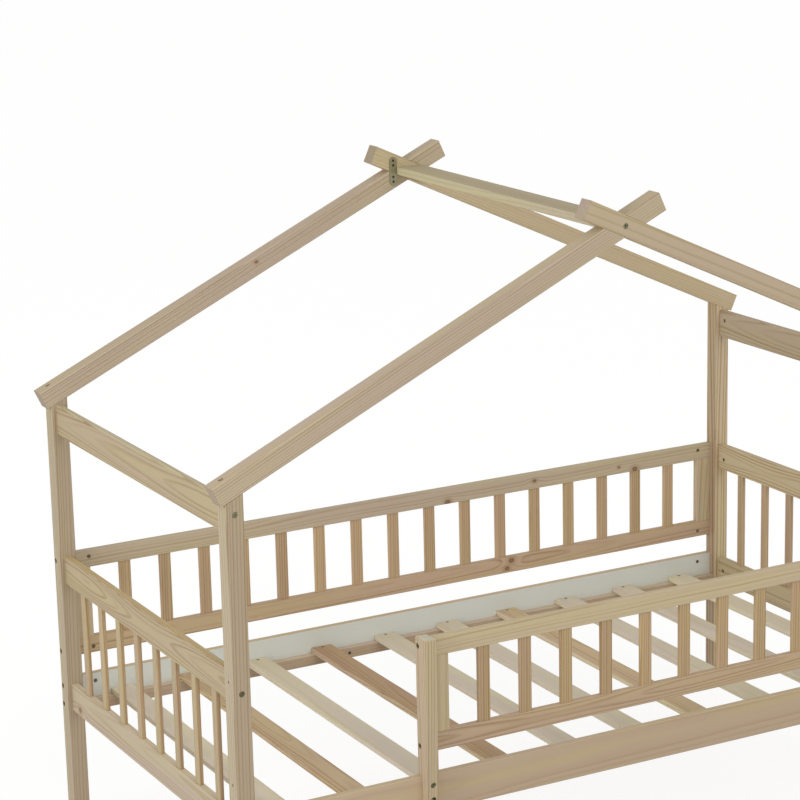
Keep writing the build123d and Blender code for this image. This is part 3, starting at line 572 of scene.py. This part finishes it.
def make_trundle():
    knots = ((-0.42, 0.03, 0.007), (0.18, -0.05, 0.005), (0.66, 0.02, 0.006))
    board("trundle_front_panel", X, Z, "buff", 201, FLAT, knots)
    board("trundle_back_panel", X, Z, "buff", 207, FLAT, knots)
    board("trundle_end_left", Y, Z, "buff", 213, FLAT)
    board("trundle_end_right", Y, Z, "buff", 219, FLAT)
    board("trundle_battens", X, Y, "rose", 225, CALM, count=2, width=TRUNDLE_BATTEN_WIDTH)
    board("castor_boards", Y, X, "rose", 229, CALM, count=2, width=CASTOR_BOARD_WIDTH)
    board("trundle_slats", Y, X, "chalk", 233, CALM, count=10, width=TRUNDLE_SLAT_WIDTH)


def make_metal(name, plate, dull, stain_and_glint, gloss, nodes):
    """Mottled, slightly brushed metal: two shades of its plating and patches of a third; on the
    bolts these patches are bright painted glints.
    """
    material, g, shader = new_material(name)
    place = g.node("TexCoord").outputs["Object"]
    mottle = g.noise(place, METAL_MOTTLE_SCALE, detail=3.0)
    colour = g.mix(g.step(mottle, METAL_MOTTLE_RANGE), srgb(plate), srgb(dull))
    stains_and_glints = g.step(g.noise(place, METAL_STAIN_AND_GLINT_SCALE), METAL_STAIN_AND_GLINT_RANGE)
    glosses = (gloss, gloss + METAL_GLOSS_SPREAD)
    bump = g.node("Bump", {"Height": mottle, "Strength": METAL_BUMP, "Distance": METAL_RELIEF})
    g.feed(shader.inputs["Base Color"], g.mix(stains_and_glints, colour, srgb(stain_and_glint)))
    g.feed(shader.inputs["Roughness"], g.step(mottle, METAL_GLOSS_RANGE, glosses))
    g.feed(shader.inputs["Normal"], bump.outputs[0])
    shader.inputs["Metallic"].default_value = 1.0
    for node in nodes:
        dress(node, material)


def make_metals():
    make_metal("zinc_plate", "a39f84", "8b886f", "978a60", 0.30,
               ("mending_plate", "trundle_screws", "castor_brackets", "castor_axles"))
    # The bolt heads' bright patches are painted glints
    make_metal("zinc_with_painted_glints", "8d8b75", "68664f", "d6d3bd", 0.16, ("frame_bolts",))
    # The cross nuts and screws are darker steel: partly their own colour, partly painted shade of
    # the holes they sit in
    make_metal("nut_steel_with_painted_shade", "7a7264", "5f594c", "8a8170", 0.32, ("bolt_nuts",))
    make_metal("dark_steel", "4d473d", "3a352c", "554c3e", 0.34,
               ("roof_screws", "batten_screws", "slat_screws"))


def make_wheel(name):
    """A moulded castor wheel: a pale grey hub inside a darker, duller tread."""
    low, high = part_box(name)
    centre = (low + high) / 2
    tread_from = TREAD_FROM * (high.z - low.z) / 2
    material, g, shader = new_material(name)
    place = g.vector_math("SUBTRACT", g.node("TexCoord").outputs["Object"], centre)
    x, y, z = g.parts(place)
    away = g.math("SQRT", g.math("ADD", g.math("MULTIPLY", y, y), g.math("MULTIPLY", z, z)))
    tread = g.step(away, (tread_from - TREAD_BLEND, tread_from + TREAD_BLEND))
    grit = g.noise(place, WHEEL_GRIT_SCALE)
    cloud = g.noise(place, WHEEL_CLOUD_SCALE)
    hub, rubber = (g.mix(cloud, *map(srgb, codes)) for codes in (HUB_COLOURS, TREAD_COLOURS))
    rough = g.sum(g.step(grit, WHEEL_GRIT_RANGE, WHEEL_ROUGHNESS), (tread, TREAD_ROUGHNESS))
    bump = g.node("Bump", {"Height": grit, "Strength": WHEEL_BUMP, "Distance": WHEEL_RELIEF})
    g.feed(shader.inputs["Base Color"], g.mix(tread, hub, rubber))
    g.feed(shader.inputs["Roughness"], rough)
    g.feed(shader.inputs["Normal"], bump.outputs[0])
    dress(name, material)


def seen_directly(g):
    """1 for rays from the camera and those that gloss or glass sends on, else 0."""
    path = g.node("LightPath").outputs
    seen = g.math("MAXIMUM", path["Is Camera Ray"], path["Is Glossy Ray"])
    return g.math("MAXIMUM", seen, path["Is Transmission Ray"])


def make_floor():
    """A pale floor that keeps shadows and shows nearly white to the camera."""
    mesh = bpy.data.meshes.new("floor")
    half = FLOOR_SIZE / 2
    shape = bmesh.new()
    corners = ((-half, -half, 0), (half, -half, 0), (half, half, 0), (-half, half, 0))
    shape.faces.new([shape.verts.new(corner) for corner in corners])
    shape.to_mesh(mesh)
    shape.free()
    floor = bpy.data.objects.new("floor", mesh)
    bpy.context.scene.collection.objects.link(floor)
    material, g, shader = new_material("pale_floor")
    shader.inputs["Base Color"].default_value = (*FLOOR_COLOUR, 1)
    shader.inputs["Roughness"].default_value = FLOOR_ROUGHNESS
    shader.inputs["Specular IOR Level"].default_value = 0.0
    white = g.node("Emission", {"Strength": FLOOR_WHITE})
    both = g.node("MixShader", {"Fac": g.math("MULTIPLY", seen_directly(g), FLOOR_WHITE_SHARE)})
    g.feed(both.inputs[1], shader.outputs[0])
    g.feed(both.inputs[2], white.outputs[0])
    output = material.node_tree.nodes["Material Output"]
    g.feed(output.inputs["Surface"], both.outputs[0])
    mesh.materials.append(material)


def make_light():
    """A soft white sky, a wide lamp from the front and a disk lamp from the left."""
    world = bpy.data.worlds.new("studio")
    world.use_nodes = True
    bpy.context.scene.world = world
    g = Graph(world.node_tree)
    soft = world.node_tree.nodes["Background"]
    soft.inputs["Color"].default_value = (1, 1, 1, 1)
    soft.inputs["Strength"].default_value = SKY_LIGHT
    white = g.node("Background", {"Color": (1, 1, 1, 1), "Strength": 1.0})
    both = g.node("MixShader", {"Fac": seen_directly(g)})
    g.feed(both.inputs[1], soft.outputs[0])
    g.feed(both.inputs[2], white.outputs[0])
    g.feed(world.node_tree.nodes["World Output"].inputs["Surface"], both.outputs[0])

    front = bpy.data.lights.new("front", "SUN")
    front.energy = FRONT_STRENGTH
    front.angle = radians(FRONT_ANGLE)
    side = bpy.data.lights.new("side", "AREA")
    side.shape = "DISK"
    side.size = SIDE_SIZE
    side.energy = SIDE_POWER
    for lamp, place, towards in ((front, Vector(), FRONT_TOWARDS), (side, SIDE_PLACE, SIDE_PLACE)):
        lit = bpy.data.objects.new(lamp.name, lamp)
        lit.location = place
        lit.rotation_euler = towards.to_track_quat("Z", "Y").to_euler()
        lit.visible_camera = False
        bpy.context.scene.collection.objects.link(lit)


def make_camera():
    data = bpy.data.cameras.new("camera")
    data.lens = CAMERA_LENS
    data.sensor_width = SENSOR_WIDTH
    data.clip_end = 2 * FLOOR_SIZE
    camera = bpy.data.objects.new("camera", data)
    turn = Matrix.Rotation(radians(-CAMERA_AZIMUTH), 4, "Z")
    tilt = Matrix.Rotation(radians(90 - CAMERA_PITCH), 4, "X")
    roll = Matrix.Rotation(radians(CAMERA_ROLL), 4, "Z")
    camera.matrix_world = Matrix.Translation(CAMERA_PLACE) @ turn @ tilt @ roll
    bpy.context.scene.collection.objects.link(camera)
    bpy.context.scene.camera = camera


make_posts()
make_roof()
make_ends()
make_guards()
make_deck()
make_trundle()
make_metals()
for wheel in ("front_left", "front_right", "back_left", "back_right"):
    make_wheel(f"castor_wheel_{wheel}")
make_floor()
make_light()
make_camera()
bpy.context.scene.view_settings.view_transform = "Standard"
